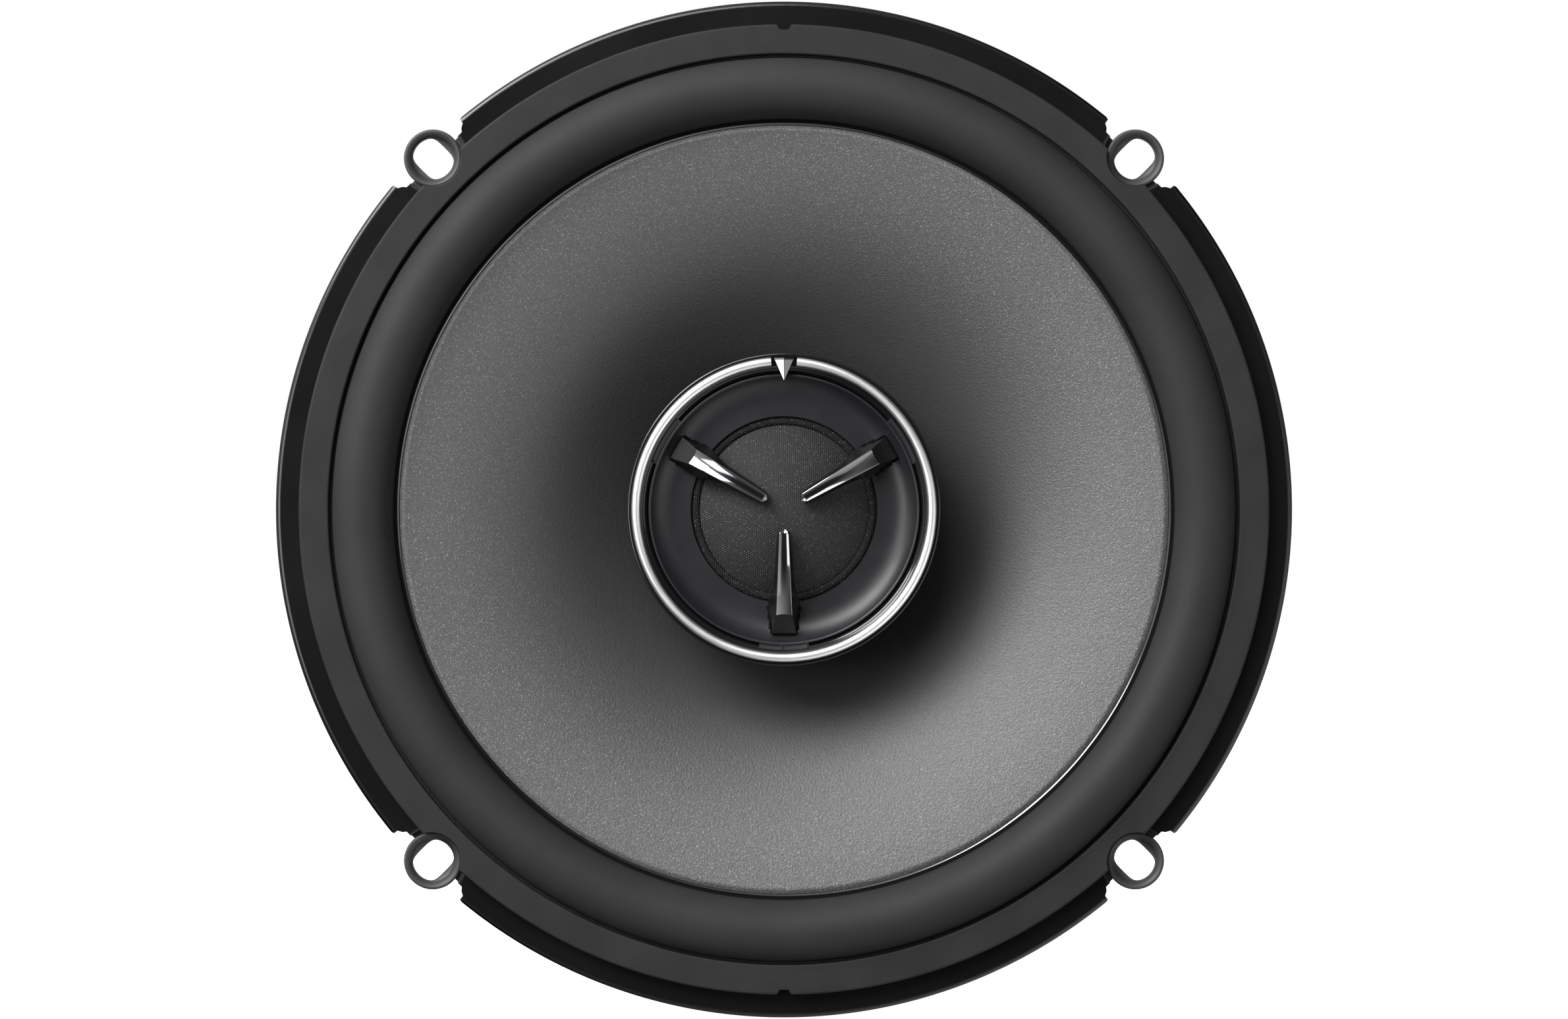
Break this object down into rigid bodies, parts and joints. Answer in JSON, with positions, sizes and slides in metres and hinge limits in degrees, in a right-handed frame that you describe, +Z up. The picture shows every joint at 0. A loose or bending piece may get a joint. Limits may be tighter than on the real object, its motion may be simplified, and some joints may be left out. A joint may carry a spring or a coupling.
{
  "type": "coaxial car speaker",
  "caption": "Round coaxial car speaker: pressed basket with screw ears, grained cone on a rubber surround, ferrite motor, and a post-mounted dome tweeter under guard blades.",
  "frame": {"origin": "centre of the circle of mounting screws, on the plane behind the flange that meets the door panel", "axes": "-Y out of the front towards the listener, +Y back along the barrel to the magnet, +Z up to the index wedge, +X to the right seen from the front"},
  "size_m": [0.1592, 0.0664, 0.1592],
  "materials": {
    "basket_paint": "gloss black coating on pressed steel",
    "gasket_rubber": "matte",
    "surround_rubber": "satin",
    "cone_polymer": "fine grained with bright flecks",
    "cone_trim": "gloss",
    "former_aluminium": "satin",
    "coil_copper": "enamelled wire",
    "spider_cloth": "resin-treated weave",
    "plated_steel": "zinc plated",
    "ferrite": "ground ceramic",
    "boot_rubber": "satin",
    "fastener_steel": "zinc plated",
    "board_phenolic": "matte",
    "terminal_brass": "tin plated",
    "tinsel_braid": "braided copper over cloth",
    "capacitor_sleeve": "shrink sleeve",
    "wire_sleeve": "satin",
    "post_metal": "black anodised",
    "housing_gloss": "gloss",
    "nickel_plate": "nickel plated",
    "inner_plastic": "matte",
    "dome_cloth": "coated fine weave",
    "waveguide_satin": "satin gloss",
    "blade_chrome": "black chrome",
    "bright_chrome": "polished"
  },
  "bodies": {
    "chassis": {"basket": "basket_paint", "gasket": "gasket_rubber", "surround": "surround_rubber", "spider": "spider_cloth", "top_plate": "plated_steel", "pole_yoke": "plated_steel", "tweeter_yoke": "plated_steel", "tweeter_pole_plate": "plated_steel", "magnet": "ferrite", "magnet_boot": "boot_rubber", "motor_rivets": "fastener_steel", "post_screw": "fastener_steel", "terminal_rivets": "fastener_steel", "terminal_board": "board_phenolic", "terminal_positive": "terminal_brass", "terminal_negative": "terminal_brass", "tinsel_lead_positive": "tinsel_braid", "tinsel_lead_negative": "tinsel_braid", "crossover_capacitor": "capacitor_sleeve", "tweeter_leads": "wire_sleeve", "tweeter_post": "post_metal", "tweeter_housing": "housing_gloss", "tweeter_magnet": "nickel_plate", "tweeter_mount_ring": "inner_plastic", "tweeter_surround": "dome_cloth", "waveguide": "waveguide_satin", "guard_blades": "blade_chrome", "bezel_ring": "bright_chrome", "index_wedge": "bright_chrome"},
    "cone_assembly": {"cone": "cone_polymer", "cone_trim_ring": "cone_trim", "voice_coil_former": "former_aluminium", "voice_coil": "coil_copper"},
    "dome_assembly": {"tweeter_dome": "dome_cloth", "tweeter_coil_former": "former_aluminium", "tweeter_coil": "coil_copper"}
  },
  "joints": [
    {"name": "cone_travel", "type": "slide", "parent": "chassis", "child": "cone_assembly", "axis": [0, -1, 0], "range_m": [-0.0045, 0.0045], "stiffness_N_per_m": 1700, "deforming": ["surround", "spider", "tinsel_lead_positive", "tinsel_lead_negative"]},
    {"name": "dome_travel", "type": "slide", "parent": "chassis", "child": "dome_assembly", "axis": [0, -1, 0], "range_m": [-0.0003, 0.0003], "stiffness_N_per_m": 200, "deforming": ["tweeter_surround"]}
  ]
}
